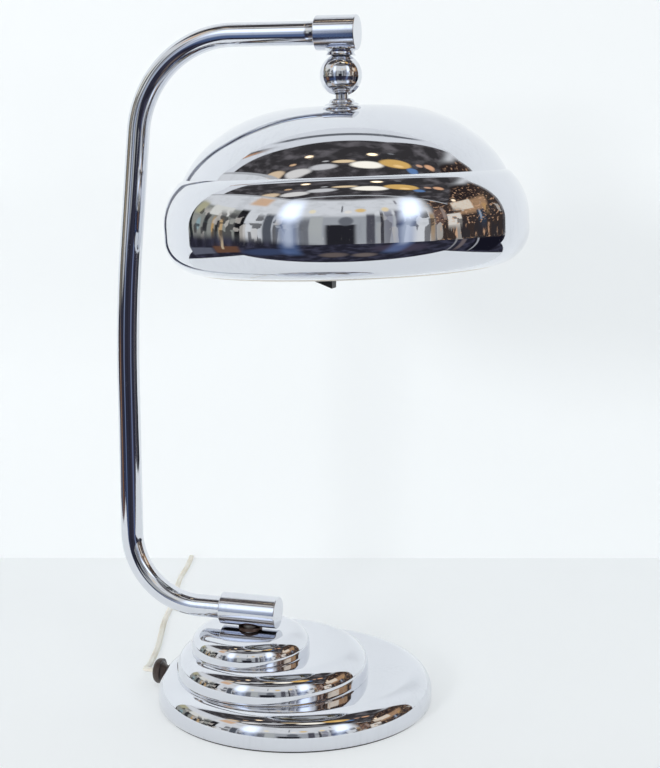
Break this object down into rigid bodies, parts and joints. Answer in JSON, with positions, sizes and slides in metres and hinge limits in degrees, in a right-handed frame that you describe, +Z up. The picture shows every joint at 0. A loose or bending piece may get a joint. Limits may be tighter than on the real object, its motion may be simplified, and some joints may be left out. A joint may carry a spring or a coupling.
{
  "type": "desk lamp",
  "caption": "Polished metal desk lamp with a stepped round base, bent tube arm, ball joint, domed shade and rocker switch.",
  "frame": {"origin": "middle of the lowest base step at table level", "axes": "+Z up, +X along the arm from the upright towards the shade, +Y towards the back"},
  "size_m": [0.3788, 0.5462, 0.427],
  "materials": {
    "chrome": "mirror plated",
    "steel": "zinc plated",
    "cup_steel": "satin plated",
    "cluster_brass": "plain",
    "cast_weight": "rough cast",
    "plate_enamel": "black enamel",
    "pad_rubber": "matt",
    "bushing_plastic": "dark brown",
    "holder_plastic": "ivory",
    "switch_plastic": "black",
    "bulb_glass": "frosted",
    "lead_vinyl": "cream vinyl",
    "plug_plastic": "cream"
  },
  "bodies": {
    "base": {"base_shell": "chrome", "foot_pad": "pad_rubber", "base_plate": "plate_enamel", "base_weight": "cast_weight", "base_plate_screws": "steel", "cord_bushing": "bushing_plastic", "swivel_washer": "chrome", "base_wire": "lead_vinyl", "cord": "lead_vinyl", "cord_coil": "lead_vinyl", "cord_tail": "lead_vinyl", "plug_body": "plug_plastic", "plug_blades": "cluster_brass"},
    "arm": {"lower_connector": "chrome", "swivel_pipe": "steel", "swivel_spring": "steel", "swivel_nut": "steel", "arm_tube": "chrome", "upper_connector": "chrome", "grub_screws": "steel", "joint_pipe": "steel", "joint_collar": "chrome", "arm_wire": "lead_vinyl"},
    "ball_housing": {"housing_upper": "chrome", "housing_lower": "chrome"},
    "shade": {"pivot_ball": "steel", "neck_ring": "chrome", "shade_flange": "chrome", "shade": "chrome", "shade_washer": "steel", "shade_nut": "steel", "cluster_stem": "steel", "cluster_body": "cluster_brass", "lampholders": "holder_plastic", "bulbs": "bulb_glass", "bulb_caps": "cluster_brass", "switch_cup": "cup_steel", "switch_cover": "cup_steel", "switch_cover_screws": "steel", "switch_body": "switch_plastic", "switch_terminals": "cluster_brass", "neck_wire": "lead_vinyl"},
    "rocker": {"switch_rocker": "switch_plastic"}
  },
  "joints": [
    {"name": "arm_swivel", "type": "hinge", "parent": "base", "child": "arm", "pos_m": [-0.02223, -0.02302, 0.053], "axis": [0, 0, 1], "range_deg": [-150, 150]},
    {"name": "shade_swivel", "type": "hinge", "parent": "arm", "child": "ball_housing", "pos_m": [0.0365, -0.02302, 0.393], "axis": [0, 0, 1], "range_deg": [-90, 90]},
    {"name": "shade_tilt", "type": "hinge", "parent": "ball_housing", "child": "shade", "pos_m": [0.0365, -0.02302, 0.393], "axis": [0, -1, 0], "range_deg": [-8, 30]},
    {"name": "switch_rocker", "type": "hinge", "parent": "shade", "child": "rocker", "pos_m": [0.02835, -0.04302, 0.2796], "axis": [0, -1, 0], "range_deg": [0, 23]}
  ]
}
